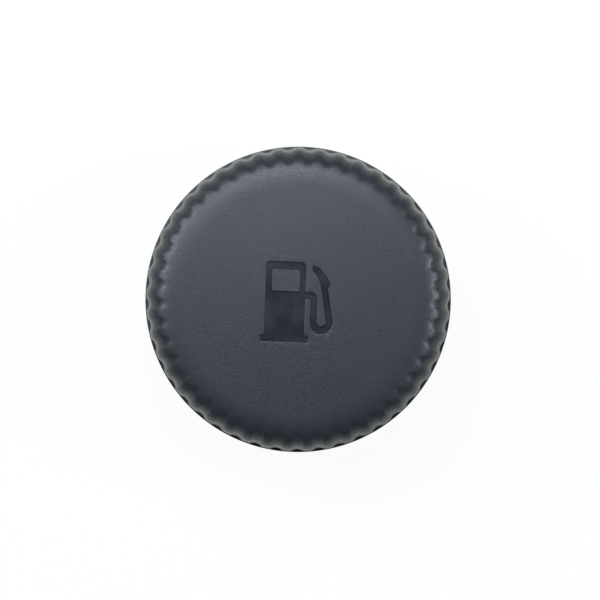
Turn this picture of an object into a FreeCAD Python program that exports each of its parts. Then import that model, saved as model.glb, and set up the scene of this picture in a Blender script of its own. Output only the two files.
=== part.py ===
import FreeCAD, Part
import Sketcher
import math
import os
import re

# Fuel filler cap: a fluted knob that turns on a vented bayonet closure through a ratchet.
# +Z points up out of the filler neck, and the origin is the middle of the barrel's foot.
# +X is the right of the symbol and +Y its top. All lengths are millimetres.

DRIVING_SIZES = {
    # knob, outside
    "knobMargin": 7.5,
    "knobBottom": 18.0,
    "crownRise": 0.9,
    "shoulderRadius": 3.1,
    "wallDraft": 5.0,
    "lipHeight": 2.6,
    "lipStep": 0.2,
    "lipChamfer": 0.35,
    # flutes of the grip
    "fluteCount": 45,
    "fluteRadius": 1.65,
    "fluteDepth": 0.85,
    "fluteRunOut": 0.02,
    # knob, inside
    "crownWall": 2.4,
    "crownRoom": 1.2,
    "skirtWall": 2.5,
    "driveWall": 1.9,
    "ribCount": 15,
    "ribWidth": 1.2,
    "ribBottom": 27.0,
    "keyWidth": 3.0,
    "keyHeight": 0.8,
    "keyCount": 4,
    # recessed symbol
    "symbolHeight": 20.93,
    "symbolDepth": 0.5,
    # closure
    "barrelRadius": 22.5,
    "barrelWall": 2.0,
    "ledgeWidth": 1.5,
    "footChamfer": 0.5,
    "pilotStep": 0.5,
    "pilotHeight": 5.0,
    "flangeMargin": 10.5,
    "flangeBottom": 27.5,
    "flangeHeight": 2.5,
    "hubSetIn": 9.0,
    "hubWall": 2.0,
    "hubHeight": 7.0,
    "hubStepWidth": 2.0,
    "hubStepHeight": 1.0,
    "ventRadius": 1.5,
    "ventShare": 0.842,
    "ventCount": 4,
    # bayonet lugs
    "lugStandOut": 5.5,
    "lugBottom": 6.0,
    "lugHeight": 4.0,
    "lugHalfAngle": 26.0,
    "lugRamp": 2.0,
    # neck seal
    "sealFit": 0.2,
    "sealSetIn": 2.0,
    "sealHeight": 3.0,
    "sealChamfer": 0.8,
    # ratchet
    "toothCount": 36,
    "toothDepth": 1.5,
    "toothStandOut": 4.0,
    "ratchetHeight": 4.0,
    "gulletShare": 0.92,
    "pawlCount": 6,
    "pawlRingWall": 1.7,
    "pawlThickness": 0.7,
    "pawlRoot": 4.0,
    "pawlNose": 0.06,
    "pawlReach": 2.4,
    # rings and washers
    "washerThickness": 0.8,
    "washerWidth": 3.6,
    "retainerThickness": 1.0,
    "retainerWidth": 2.5,
    "clipThickness": 0.8,
    "clipWidth": 1.7,
    "ringGap": 4.0,
    # valve seat
    "ledgeHeight": 11.5,
    "seatThickness": 2.2,
    "seatPortShare": 0.58,
    "seatBeadShare": 0.685,
    "seatBeadWidth": 1.0,
    "seatBeadHeight": 0.8,
    "seatSealSection": 1.1,
    # pressure valve
    "gasketInnerShare": 0.337,
    "gasketOuterShare": 0.79,
    "gasketThickness": 1.2,
    "plateThickness": 0.8,
    "plateRim": 0.8,
    "guideWall": 0.8,
    "guideHeight": 3.0,
    "portRadius": 0.9,
    "portCount": 6,
    "cupThickness": 1.0,
    "cupCollar": 1.8,
    "pressureSpringShare": 0.553,
    "pressureWire": 1.2,
    "pressureCoilCount": 3,
    # vacuum valve
    "poppetShare": 0.432,
    "poppetThickness": 1.1,
    "stemShare": 0.126,
    "stemLength": 10.0,
    "keeperShare": 0.258,
    "keeperThickness": 0.8,
    "keeperSetBack": 0.6,
    "vacuumSpringShare": 0.224,
    "vacuumWire": 0.6,
    "vacuumCoilCount": 3,
    # bottom guard
    "guardSetBack": 1.0,
    "guardThickness": 1.2,
    "guardRimHeight": 4.0,
    "guardRimWall": 1.2,
    "guardBead": 0.5,
    "guardBeadHeight": 1.0,
    "slotCount": 8,
    "slotWidth": 2.0,
    "slotInnerShare": 0.263,
    "slotOuterShare": 0.895,
    # clearances
    "runningGap": 0.4,
    "endPlay": 0.2,
    "fitGap": 0.1,
    "guideGap": 0.2,
}
# Sizes that follow the barrel, which fits one neck; each share is of the throat above the valve seat
FOLLOWING_SIZES = {
    "knobHeight": "flangeBottom + flangeHeight + hubHeight + crownRoom + crownWall + crownRise - knobBottom",
    "flangeRadius": "barrelRadius + flangeMargin",
    "knobRadius": "flangeRadius + knobMargin",
    "hubRadius": "flangeRadius - hubSetIn",
    "hubStepRadius": "hubRadius + hubStepWidth",
    "toothTipRadius": "hubRadius + toothStandOut",
    "pilotRadius": "barrelRadius - pilotStep",
    "lugReach": "barrelRadius + lugStandOut",
    "sealInner": "barrelRadius + sealFit",
    "sealOuter": "flangeRadius - sealSetIn",
    "throatRadius": "barrelRadius - barrelWall - ledgeWidth",
    "ventPitchRadius": "throatRadius * ventShare",
    "seatPortRadius": "throatRadius * seatPortShare",
    "seatBeadRadius": "throatRadius * seatBeadShare",
    "gasketInner": "throatRadius * gasketInnerShare",
    "gasketOuter": "throatRadius * gasketOuterShare",
    "pressureSpringRadius": "throatRadius * pressureSpringShare",
    "poppetRadius": "throatRadius * poppetShare",
    "stemRadius": "throatRadius * stemShare",
    "keeperRadius": "throatRadius * keeperShare",
    "vacuumSpringRadius": "throatRadius * vacuumSpringShare",
    "slotInner": "throatRadius * slotInnerShare",
    "slotOuter": "throatRadius * slotOuterShare",
}

os.makedirs("parts", exist_ok=True)
doc = FreeCAD.newDocument("FuelFillerCap")
sheet = doc.addObject("Spreadsheet::Sheet", "Sizes")
rows = [(alias, str(number)) for alias, number in DRIVING_SIZES.items()]
rows += [(alias, f"={formula}") for alias, formula in FOLLOWING_SIZES.items()]
for row, (alias, content) in enumerate(rows, start=1):
    sheet.set(f"A{row}", alias)
    sheet.setAlias(f"B{row}", alias)
    sheet.set(f"B{row}", content)
doc.recompute()


def cellReference(word):
    return f"Sizes.{word[0]}" if word[0] in DRIVING_SIZES | FOLLOWING_SIZES else word[0]


def bound(text):
    """Turns size names into references to the sheet's cells."""
    return re.sub(r"[A-Za-z]\w*", cellReference, str(text))


def value(text):
    """The number that an expression of size names has now."""
    return float(sheet.evalExpression(bound(text)))


def originPart(body, role):
    return next(part for part in body.Origin.OriginFeatures if part.Role == role)


def newBody(label):
    body = doc.addObject("PartDesign::Body", label)
    body.Label = label
    return body


def newSketch(body, name, role, lift="0"):
    sketch = body.newObject("Sketcher::SketchObject", name)
    sketch.AttachmentSupport = (originPart(body, role), [""])
    sketch.MapMode = "FlatFace"
    sketch.setExpression("AttachmentOffset.Base.z", bound(lift))
    return sketch


def pin(sketch, kind, geometry, point, text):
    """Binds one coordinate of a point, or a radius, to an expression."""
    if kind == "Radius":
        index = sketch.addConstraint(Sketcher.Constraint(kind, geometry, value(text)))
    else:
        index = sketch.addConstraint(Sketcher.Constraint(kind, geometry, point, value(text)))
    sketch.setExpression(f"Constraints[{index}]", bound(text))


def drawOutline(sketch, steps):
    """Draws a closed outline. Each step is the end point of a line, (x, y), or of an arc,
    (x, y, radius, side), with side 1 where the arc turns left and -1 where it turns right."""
    corners = [FreeCAD.Vector(value(step[0]), value(step[1]), 0) for step in steps]
    ends = []
    for index, step in enumerate(steps):
        start, end = corners[index - 1], corners[index]
        if len(step) == 2:
            geometry = sketch.addGeometry(Part.LineSegment(start, end))
            ends.append((geometry, 1, 2))
        else:
            radius, side = value(step[2]), step[3]
            chord = end - start
            across = FreeCAD.Vector(-chord.y, chord.x, 0).normalize()
            reach = math.sqrt(max(radius ** 2 - (chord.Length / 2) ** 2, 0))
            centre = (start + end) * 0.5 + across * reach * side
            first, last = (start, end) if side > 0 else (end, start)
            turns = [math.atan2(point.y - centre.y, point.x - centre.x) for point in (first, last)]
            circle = Part.Circle(centre, FreeCAD.Vector(0, 0, 1), radius)
            geometry = sketch.addGeometry(Part.ArcOfCircle(circle, turns[0], turns[1]))
            ends.append((geometry, 1, 2) if side > 0 else (geometry, 2, 1))
            pin(sketch, "Radius", geometry, 0, step[2])
    for index, step in enumerate(steps):
        geometry, _, last = ends[index]
        following, first, _ = ends[(index + 1) % len(steps)]
        sketch.addConstraint(Sketcher.Constraint("Coincident", geometry, last, following, first))
        pin(sketch, "DistanceX", geometry, last, step[0])
        pin(sketch, "DistanceY", geometry, last, step[1])


def drawCircle(sketch, x, y, radius):
    centre = FreeCAD.Vector(value(x), value(y), 0)
    geometry = sketch.addGeometry(Part.Circle(centre, FreeCAD.Vector(0, 0, 1), value(radius)))
    pin(sketch, "DistanceX", geometry, 3, x)
    pin(sketch, "DistanceY", geometry, 3, y)
    pin(sketch, "Radius", geometry, 0, radius)


def box(x0, y0, x1, y1):
    """A rectangle as four steps of an outline."""
    return [(x0, y0), (x1, y0), (x1, y1), (x0, y1)]


def turned(body, name, steps, kind="PartDesign::Revolution"):
    """Turns a profile of (radius, height) steps about the cap's axis."""
    sketch = newSketch(body, name + "Profile", "XZ_Plane")
    drawOutline(sketch, steps)
    feature = body.newObject(kind, name)
    feature.Profile = sketch
    feature.ReferenceAxis = (sketch, ["V_Axis"])
    feature.Angle = 360
    return feature


def extruded(body, name, sketch, height, kind="PartDesign::Pad"):
    """Pads or pockets a level sketch upwards."""
    feature = body.newObject(kind, name)
    feature.Profile = sketch
    feature.setExpression("Length", bound(height))
    feature.Reversed = kind == "PartDesign::Pocket"
    return feature


def repeated(body, name, features, count):
    """Repeats features evenly round the cap's axis."""
    pattern = body.newObject("PartDesign::PolarPattern", name)
    pattern.Originals = features
    pattern.Axis = (originPart(body, "Z_Axis"), [""])
    pattern.Angle = 360
    pattern.setExpression("Occurrences", bound(count))
    body.Tip = pattern
    return pattern


def edgesWhere(shape, test):
    return [f"Edge{index}" for index, edge in enumerate(shape.Edges, start=1) if test(edge)]


def isLeadingLugEdge(edge):
    """A lug's upper edge on the side that enters the neck first as the cap is turned clockwise."""
    ends = [vertex.Point for vertex in edge.Vertexes]
    top = value("lugBottom + lugHeight")
    return len(ends) == 2 and all(abs(end.z - top) < 0.01 for end in ends) \
        and all(end.x * end.y < -1 for end in ends) \
        and abs(abs(ends[0].sub(ends[1]).Length) - value("lugReach - barrelRadius")) < 0.5


# Heights of the stack above the flange
flangeTop = "(flangeBottom + flangeHeight)"
hubStepTop = f"({flangeTop} + hubStepHeight)"
ratchetTop = f"({hubStepTop} + ratchetHeight)"
hubTop = f"({flangeTop} + hubHeight)"
ceiling = "(knobBottom + knobHeight - crownRise - crownWall)"
driveInner = "(flangeRadius + runningGap)"
driveOuter = f"({driveInner} + driveWall)"
retainerTop = "(flangeBottom - endPlay)"
sealBottom = "(flangeBottom - sealHeight)"

# Shoulder of the knob: its fillet touches the drafted wall below and the dome above
wallLine = "(knobRadius - lipStep)"
shoulderZ = "(knobBottom + knobHeight - crownRise - shoulderRadius)"
wallEndZ = f"({shoulderZ} + shoulderRadius * sin(wallDraft))"
wallEndX = f"({wallLine} - tan(wallDraft) * ({wallEndZ} - knobBottom - lipHeight))"
shoulderX = f"({wallEndX} - shoulderRadius * cos(wallDraft))"
domeSink = f"(({shoulderX} ^ 2 - crownRise ^ 2) / (2 * crownRise))"
domeStartX = f"({shoulderX} * (1 + shoulderRadius / (crownRise + {domeSink})))"
domeStartZ = f"({shoulderZ} + shoulderRadius * {domeSink} / (crownRise + {domeSink}))"
domeRadius = f"({domeSink} + crownRise + shoulderRadius)"
crownTop = "(knobBottom + knobHeight)"
skirtInner = "(knobRadius - skirtWall)"


def makeKnob():
    body = newBody("knob")
    wallFoot = f"{wallEndX} + tan(wallDraft) * ({wallEndZ} - knobBottom)"
    skirtTop = f"{wallEndX} - skirtWall"
    turned(body, "shell", [
        (wallFoot, "knobBottom"),
        (wallEndX, wallEndZ),
        (domeStartX, domeStartZ, "shoulderRadius", 1),
        ("0", crownTop, domeRadius, 1),
        ("0", ceiling),
        (f"{driveInner} - pawlRingWall", ceiling),
        (f"{driveInner} - pawlRingWall", f"{ratchetTop} + fitGap"),
        (driveInner, f"{ratchetTop} + fitGap"),
        (driveInner, retainerTop),
        (f"{driveInner} + driveWall / 2", retainerTop),
        (f"{driveInner} + driveWall / 2", f"{retainerTop} - retainerThickness - fitGap"),
        (driveInner, f"{retainerTop} - retainerThickness - fitGap"),
        (driveInner, sealBottom),
        (driveOuter, sealBottom),
        (driveOuter, ceiling),
        (skirtTop, ceiling),
        (skirtInner, "knobBottom"),
    ])

    # One flute: a round cutter runs up the wall and out over the shoulder. Its section stands
    # where the wall meets the shoulder, square to the wall.
    reach = "(shoulderRadius + fluteRadius - fluteDepth)"
    lift = "(fluteDepth + fluteRunOut)"
    section = newSketch(body, "fluteSection", "XY_Plane")
    section.AttachmentOffset = FreeCAD.Placement(
        FreeCAD.Vector(), FreeCAD.Rotation(FreeCAD.Vector(0, -1, 0), value("wallDraft")))
    section.setExpression("AttachmentOffset.Base.x", bound(f"{shoulderX} - {lift} * sin(wallDraft)"))
    section.setExpression("AttachmentOffset.Base.z", bound(f"{shoulderZ} + {lift} * cos(wallDraft)"))
    section.setExpression("AttachmentOffset.Rotation.Angle", bound("wallDraft") + " * 1 deg")
    drawCircle(section, reach, "0", "fluteRadius")
    wallCut = body.newObject("PartDesign::Pocket", "fluteOnWall")
    wallCut.Profile = section
    wallCut.setExpression("Length", bound("knobHeight"))
    shoulderCut = body.newObject("PartDesign::Groove", "fluteOnShoulder")
    shoulderCut.Profile = section
    shoulderCut.ReferenceAxis = (section, ["V_Axis"])
    shoulderCut.setExpression("Angle", bound("90 - wallDraft"))
    shoulderCut.Reversed = True
    repeated(body, "flutes", [wallCut, shoulderCut], "fluteCount")

    # The smooth lip closes the flutes at the foot
    turned(body, "lip", [
        (skirtInner, "knobBottom"),
        ("knobRadius - lipChamfer", "knobBottom"),
        ("knobRadius", "knobBottom + lipChamfer"),
        ("knobRadius", "knobBottom + lipHeight"),
        (f"{skirtInner} + skirtWall / 4", "knobBottom + lipHeight"),
    ])

    ribSketch = newSketch(body, "ribSection", "XY_Plane", "ribBottom")
    drawOutline(ribSketch, box(
        f"{driveOuter} - driveWall / 4", "-ribWidth / 2", f"{skirtTop} + skirtWall / 4", "ribWidth / 2"))
    rib = extruded(body, "rib", ribSketch, f"{ceiling} - ribBottom")
    repeated(body, "ribs", [rib], "ribCount")

    keySketch = newSketch(body, "keySection", "XY_Plane", hubStepTop)
    drawOutline(keySketch, box(
        f"{driveInner} - keyHeight", "-keyWidth / 2", f"{driveInner} + driveWall / 2", "keyWidth / 2"))
    key = extruded(body, "key", keySketch, "ratchetHeight + fitGap * 2")
    repeated(body, "keys", [key], "keyCount")

    cutSymbol(body)
    return body


def grid(number):
    """A length of the symbol, whose drawing is 21 units tall."""
    return f"({number}) * symbolHeight / 20.93"


def symbolSteps(points):
    """Scales an outline drawn on the symbol's grid."""
    steps = []
    for x, y, *arc in points:
        steps.append((grid(x), grid(y), *([grid(arc[0]), arc[1]] if arc else [])))
    return steps


def cutSymbol(body):
    """Sinks the pump symbol into the crown: pump with its window left standing, and hose."""
    floor = f"{crownTop} - symbolDepth"
    pump = newSketch(body, "pumpOutline", "XY_Plane", floor)
    drawOutline(pump, symbolSteps([
        (-9.4, -11.3, 0.3, 1), (2.65, -11.3), (2.95, -11.0, 0.3, 1), (2.95, -9.7), (1.8, -9.7),
        (1.8, 8.33), (0.5, 9.63, 1.3, 1), (-7.35, 9.63), (-8.65, 8.33, 1.3, 1), (-8.65, -9.7),
        (-9.7, -9.7), (-9.7, -11.0)]))
    drawOutline(pump, symbolSteps([
        (-6.5, 1.87, 0.6, 1), (-0.26, 1.87), (0.34, 2.47, 0.6, 1), (0.34, 7.15),
        (-0.26, 7.75, 0.6, 1), (-6.5, 7.75), (-7.1, 7.15, 0.6, 1), (-7.1, 2.47)]))
    extruded(body, "pumpRecess", pump, "symbolDepth * 2", "PartDesign::Pocket")
    hose = newSketch(body, "hoseOutline", "XY_Plane", floor)
    drawOutline(hose, symbolSteps([
        (1.3, 1.8), (1.3, 0.25), (2.63, 0.25), (3.28, -0.4, 0.65, -1), (3.28, -5.9),
        (6.25, -8.87, 2.97, 1), (9.18, -5.39, 2.97, 1), (7.7, 3.07), (8.36, 4.11), (7.27, 6.1),
        (4.94, 8.54), (3.51, 8.89), (3.45, 7.87), (4.62, 6.6), (5.49, 5.01), (5.97, 3.0),
        (7.45, -5.69), (6.25, -7.1, 1.2, -1), (5.05, -5.9, 1.2, -1), (5.05, 0.0), (3.25, 1.8, 1.8, 1)]))
    extruded(body, "hoseRecess", hose, "symbolDepth * 2", "PartDesign::Pocket")


def makeClosure():
    body = newBody("closure_body")
    turned(body, "closureForm", [
        (bore, "0"),
        ("pilotRadius - footChamfer", "0"),
        ("pilotRadius", "footChamfer"),
        ("pilotRadius", "pilotHeight"),
        ("barrelRadius", "pilotHeight + pilotStep"),
        ("barrelRadius", "flangeBottom"),
        ("flangeRadius", "flangeBottom"),
        ("flangeRadius", flangeTop),
        ("hubStepRadius", flangeTop),
        ("hubStepRadius", hubStepTop),
        ("hubRadius", hubStepTop),
        ("hubRadius", hubTop),
        ("hubRadius - hubWall", hubTop),
        ("hubRadius - hubWall", flangeTop),
        ("0", flangeTop),
        ("0", "flangeBottom"),
        ("throatRadius", "flangeBottom"),
        ("throatRadius", "ledgeHeight"),
        (bore, "ledgeHeight"),
    ])
    clipDepth = "clipWidth / 2"
    turned(body, "circlipGroove", box(
        f"{bore} - fitGap", f"{seatBottom} - fitGap - clipThickness", f"{bore} + {clipDepth}", seatBottom),
        "PartDesign::Groove")
    turned(body, "hubGroove", box(
        f"hubRadius - {clipDepth}", ratchetTop,
        "hubRadius + fitGap", f"{ratchetTop} + clipThickness + fitGap"), "PartDesign::Groove")
    turned(body, "guardGroove", box(
        f"{bore} - fitGap", "guardSetBack + guardThickness", f"{bore} + guardBead",
        "guardSetBack + guardThickness + guardBeadHeight + fitGap"), "PartDesign::Groove")

    vents = newSketch(body, "ventSection", "XY_Plane", "flangeBottom - fitGap")
    drawCircle(vents, "ventPitchRadius", "0", "ventRadius")
    vent = extruded(body, "vent", vents, "flangeHeight + fitGap * 2", "PartDesign::Pocket")
    repeated(body, "vents", [vent], "ventCount")

    # Bayonet lugs, one each side in X, with a ramp that draws the cap down as it turns
    lugSketch = newSketch(body, "lugSection", "XY_Plane", "lugBottom")
    inner = "(barrelRadius - barrelWall / 2)"
    drawOutline(lugSketch, [
        (f"{inner} * cos(lugHalfAngle)", f"-{inner} * sin(lugHalfAngle)", inner, -1),
        ("lugReach * cos(lugHalfAngle)", "-lugReach * sin(lugHalfAngle)"),
        ("lugReach * cos(lugHalfAngle)", "lugReach * sin(lugHalfAngle)", "lugReach", 1),
        (f"{inner} * cos(lugHalfAngle)", f"{inner} * sin(lugHalfAngle)"),
    ])
    lug = extruded(body, "lug", lugSketch, "lugHeight")
    lugs = repeated(body, "lugs", [lug], "2")
    doc.recompute()
    ramp = body.newObject("PartDesign::Chamfer", "lugRamps")
    ramp.Base = (lugs, edgesWhere(lugs.Shape, isLeadingLugEdge))
    ramp.setExpression("Size", bound("lugRamp"))

    keySketch = newSketch(body, "hubKeySection", "XY_Plane", hubStepTop)
    drawOutline(keySketch, box(
        "hubRadius - hubWall / 2", "-keyWidth / 2", "hubRadius + keyHeight", "keyWidth / 2"))
    key = extruded(body, "hubKey", keySketch, "ratchetHeight")
    repeated(body, "hubKeys", [key], "keyCount")
    return body


def makePawlRing():
    """Ring that turns with the knob. Each pawl is a springy arm that leans against the teeth."""
    body = newBody("pawl_ring")
    outer = f"({driveInner} - fitGap)"
    inner = f"({outer} - pawlRingWall)"
    turned(body, "pawlRingForm", box(inner, hubStepTop, outer, ratchetTop))
    keyway = newSketch(body, "pawlKeySection", "XY_Plane", f"{hubStepTop} - fitGap")
    drawOutline(keyway, box(
        f"{driveInner} - keyHeight - fitGap", "-keyWidth / 2 - fitGap", "flangeRadius + runningGap * 2",
        "keyWidth / 2 + fitGap"))
    slot = extruded(body, "pawlKey", keyway, "ratchetHeight + fitGap * 2", "PartDesign::Pocket")
    repeated(body, "pawlKeys", [slot], "keyCount")
    pawl = newSketch(body, "pawlSection", "XY_Plane", hubStepTop)
    tooth = "(360 / toothCount)"
    nose = "(toothTipRadius - toothDepth + guideGap)"
    heel = "(toothTipRadius + guideGap * 2)"
    root = f"({inner} + pawlRingWall / 4)"
    noseAngle = f"({tooth} * pawlNose)"
    armAngle = f"({tooth} * pawlReach)"
    drawOutline(pawl, [
        (f"{nose} * cos({noseAngle})", f"{nose} * sin({noseAngle})"),
        (f"({heel} + pawlThickness) * cos({noseAngle})", f"({heel} + pawlThickness) * sin({noseAngle})"),
        (f"{root} * cos({armAngle})", f"{root} * sin({armAngle})"),
        (f"{root} * cos({armAngle} + pawlRoot)", f"{root} * sin({armAngle} + pawlRoot)"),
        (f"{heel} * cos({tooth})", f"{heel} * sin({tooth})"),
    ])
    arm = extruded(body, "pawl", pawl, "ratchetHeight")
    repeated(body, "pawls", [arm], "pawlCount")
    return body


def makeRatchetRing():
    """Saw-toothed ring that stands still with the closure."""
    body = newBody("ratchet_ring")
    tooth = "(360 / toothCount)"
    root = "(toothTipRadius - toothDepth)"
    tip = "(toothTipRadius + fitGap)"
    turned(body, "ratchetForm", box("hubRadius + fitGap", hubStepTop, "toothTipRadius", ratchetTop))
    gullet = newSketch(body, "gulletSection", "XY_Plane", f"{hubStepTop} - fitGap")
    drawOutline(gullet, [
        (root, "0"),
        (f"{tip} * cos({tooth} * gulletShare)", f"{tip} * sin({tooth} * gulletShare)"),
        ("toothTipRadius + fitGap * 2", "0"),
    ])
    cut = extruded(body, "gullet", gullet, "ratchetHeight + fitGap * 2", "PartDesign::Pocket")
    repeated(body, "gullets", [cut], "toothCount")
    keyway = newSketch(body, "ratchetKeySection", "XY_Plane", f"{hubStepTop} - fitGap")
    drawOutline(keyway, box(
        "hubRadius", "-keyWidth / 2 - fitGap", "hubRadius + keyHeight + fitGap", "keyWidth / 2 + fitGap"))
    slot = extruded(body, "ratchetKey", keyway, "ratchetHeight + fitGap * 2", "PartDesign::Pocket")
    repeated(body, "ratchetKeys", [slot], "keyCount")
    return body


def makeSplitRing(label, inner, outer, bottom, thickness):
    """Flat snap ring with a gap, so that it springs into its groove."""
    body = newBody(label)
    turned(body, label + "Form", box(inner, bottom, outer, f"{bottom} + {thickness}"))
    gap = newSketch(body, label + "Gap", "XY_Plane", f"{bottom} - fitGap")
    drawOutline(gap, box(f"{inner} / 2", "-ringGap / 2", f"{outer} + fitGap", "ringGap / 2"))
    extruded(body, label + "Cut", gap, f"{thickness} + fitGap * 2", "PartDesign::Pocket")
    return body


def makeRetainingRing():
    outer = f"({driveInner} + driveWall / 2 - fitGap)"
    bottom = f"({retainerTop} - retainerThickness - fitGap / 2)"
    inner = f"({outer} - retainerWidth)"
    return makeSplitRing("retaining_ring", inner, outer, bottom, "retainerThickness")


def makeRatchetClip():
    inner = "(hubRadius - clipWidth / 2 + fitGap)"
    outer = f"({inner} + clipWidth)"
    return makeSplitRing("ratchet_clip", inner, outer, f"({ratchetTop} + fitGap / 2)", "clipThickness")


bore = "(barrelRadius - barrelWall)"
seatTop = "(ledgeHeight - fitGap)"
seatBottom = f"({seatTop} - seatThickness)"
beadTop = f"({seatTop} + seatBeadHeight)"
gasketTop = f"({beadTop} + gasketThickness)"
plateTop = f"({gasketTop} + plateThickness)"
cupBottom = "(flangeBottom - cupThickness)"
stemTop = f"({beadTop} + stemLength)"
keeperBottom = f"({stemTop} - keeperSetBack - keeperThickness)"


def makeSeatCirclip():
    outer = f"({bore} + clipWidth / 2 - fitGap)"
    bottom = f"({seatBottom} - fitGap / 2 - clipThickness)"
    return makeSplitRing("seat_circlip", f"({outer} - clipWidth)", outer, bottom, "clipThickness")


def makeThrustWasher():
    body = newBody("thrust_washer")
    outer = "(flangeRadius - endPlay)"
    turned(body, "thrustWasherForm", box(
        f"{outer} - washerWidth", flangeTop, outer, f"{flangeTop} + washerThickness"))
    return body


def makeNeckSeal():
    """Rubber ring that seals on the neck with its lower side."""
    body = newBody("neck_seal")
    turned(body, "neckSealForm", [
        ("sealInner", "flangeBottom"),
        ("sealInner", f"{sealBottom} + sealChamfer"),
        ("sealInner + sealChamfer", sealBottom),
        ("sealOuter - sealChamfer", sealBottom),
        ("sealOuter", f"{sealBottom} + sealChamfer"),
        ("sealOuter", "flangeBottom"),
    ])
    return body


def makeSeatPlate():
    """Valve seat: a disc with a port, a raised bead for the gasket and a groove for its seal."""
    body = newBody("seat_plate")
    outer = f"({bore} - fitGap)"
    middle = f"(({seatTop} + {seatBottom}) / 2)"
    turned(body, "seatPlateForm", [
        ("seatPortRadius", seatBottom),
        (outer, seatBottom),
        (outer, f"{middle} - seatSealSection / 2"),
        (f"{bore} - seatSealSection", f"{middle} - seatSealSection / 2"),
        (f"{bore} - seatSealSection", f"{middle} + seatSealSection / 2"),
        (outer, f"{middle} + seatSealSection / 2"),
        (outer, seatTop),
        ("seatBeadRadius + seatBeadWidth / 2", seatTop),
        ("seatBeadRadius + seatBeadWidth / 2", beadTop),
        ("seatBeadRadius - seatBeadWidth / 2", beadTop),
        ("seatBeadRadius - seatBeadWidth / 2", seatTop),
        ("seatPortRadius", seatTop),
    ])
    return body


def makeSeatSeal():
    """Square-cut rubber ring, squeezed between the seat plate and the barrel."""
    body = newBody("seat_seal")
    middle = f"(({seatTop} + {seatBottom}) / 2)"
    turned(body, "seatSealForm", box(
        f"{bore} - seatSealSection", f"{middle} - seatSealSection / 2",
        bore, f"{middle} + seatSealSection / 2"))
    return body


def makePressurePlate():
    """Steel disc, dished over the gasket, with a guide tube for the vacuum stem."""
    body = newBody("pressure_plate")
    guideBore = "(stemRadius + guideGap)"
    rim = "(gasketOuter + fitGap)"
    turned(body, "pressurePlateForm", [
        (guideBore, gasketTop),
        (rim, gasketTop),
        (rim, f"{beadTop} + gasketThickness / 3"),
        (f"{rim} + plateRim", f"{beadTop} + gasketThickness / 3"),
        (f"{rim} + plateRim", plateTop),
        (f"{guideBore} + guideWall", plateTop),
        (f"{guideBore} + guideWall", f"{plateTop} + guideHeight"),
        (guideBore, f"{plateTop} + guideHeight"),
    ])
    ports = newSketch(body, "portSection", "XY_Plane", f"{gasketTop} - fitGap")
    drawCircle(ports, f"({guideBore} + guideWall + gasketInner) / 2", "0", "portRadius")
    port = extruded(body, "port", ports, "plateThickness + fitGap * 2", "PartDesign::Pocket")
    repeated(body, "ports", [port], "portCount")
    return body


def makePressureGasket():
    body = newBody("pressure_gasket")
    turned(body, "pressureGasketForm", box("gasketInner", beadTop, "gasketOuter", gasketTop))
    return body


def makeSpringCup():
    """Steel cup under the closure's top that centres the pressure spring."""
    body = newBody("spring_cup")
    collar = "(pressureSpringRadius - pressureWire / 2 - guideGap)"
    turned(body, "springCupForm", [
        (f"{collar} - cupThickness", f"{cupBottom} - cupCollar"),
        (collar, f"{cupBottom} - cupCollar"),
        (collar, cupBottom),
        ("pressureSpringRadius + pressureWire", cupBottom),
        ("pressureSpringRadius + pressureWire", "flangeBottom"),
        (f"{collar} - cupThickness", "flangeBottom"),
    ])
    return body


def makeSpring(label, radius, wire, bottom, top, turns):
    """Wire wound into a helix that just meets its two seats. Eight flats stand for its round."""
    flats = 8
    radius, wire, bottom, top = (value(text) for text in (radius, wire, bottom, top))
    height = top - bottom - wire
    helix = Part.makeHelix(height / value(turns), height, radius)
    along = helix.Edges[0].tangentAt(helix.Edges[0].FirstParameter)
    outward = FreeCAD.Vector(1, 0, 0)
    upward = outward.cross(along)
    corner = wire / 2 / math.cos(math.pi / flats)
    corners = []
    for index in range(flats + 1):
        turn = 2 * math.pi * (index + 0.5) / flats
        corners.append(outward * (radius + corner * math.cos(turn)) + upward * (corner * math.sin(turn)))
    section = Part.makePolygon(corners)
    spring = doc.addObject("Part::Feature", label)
    spring.Label = label
    spring.Shape = Part.Wire(helix.Edges).makePipeShell([section], True, True)
    spring.Placement = FreeCAD.Placement(FreeCAD.Vector(0, 0, bottom + wire / 2), FreeCAD.Rotation())
    return spring


def makePressureSpring():
    return makeSpring(
        "pressure_spring", "pressureSpringRadius", "pressureWire", plateTop, cupBottom, "pressureCoilCount")


def makeVacuumSpring():
    return makeSpring(
        "vacuum_spring", "vacuumSpringRadius", "vacuumWire", plateTop, keeperBottom, "vacuumCoilCount")


def makeVacuumPoppet():
    """Disc that seals against the gasket from below, on a stem that runs in the guide tube."""
    body = newBody("vacuum_poppet")
    turned(body, "vacuumPoppetForm", [
        ("0", f"{beadTop} - poppetThickness"),
        ("poppetRadius", f"{beadTop} - poppetThickness"),
        ("poppetRadius", beadTop),
        ("stemRadius", beadTop),
        ("stemRadius", stemTop),
        ("0", stemTop),
    ])
    return body


def makeVacuumKeeper():
    body = newBody("vacuum_keeper")
    turned(body, "vacuumKeeperForm", box(
        "stemRadius", keeperBottom, "keeperRadius", f"{keeperBottom} + keeperThickness"))
    return body


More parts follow.
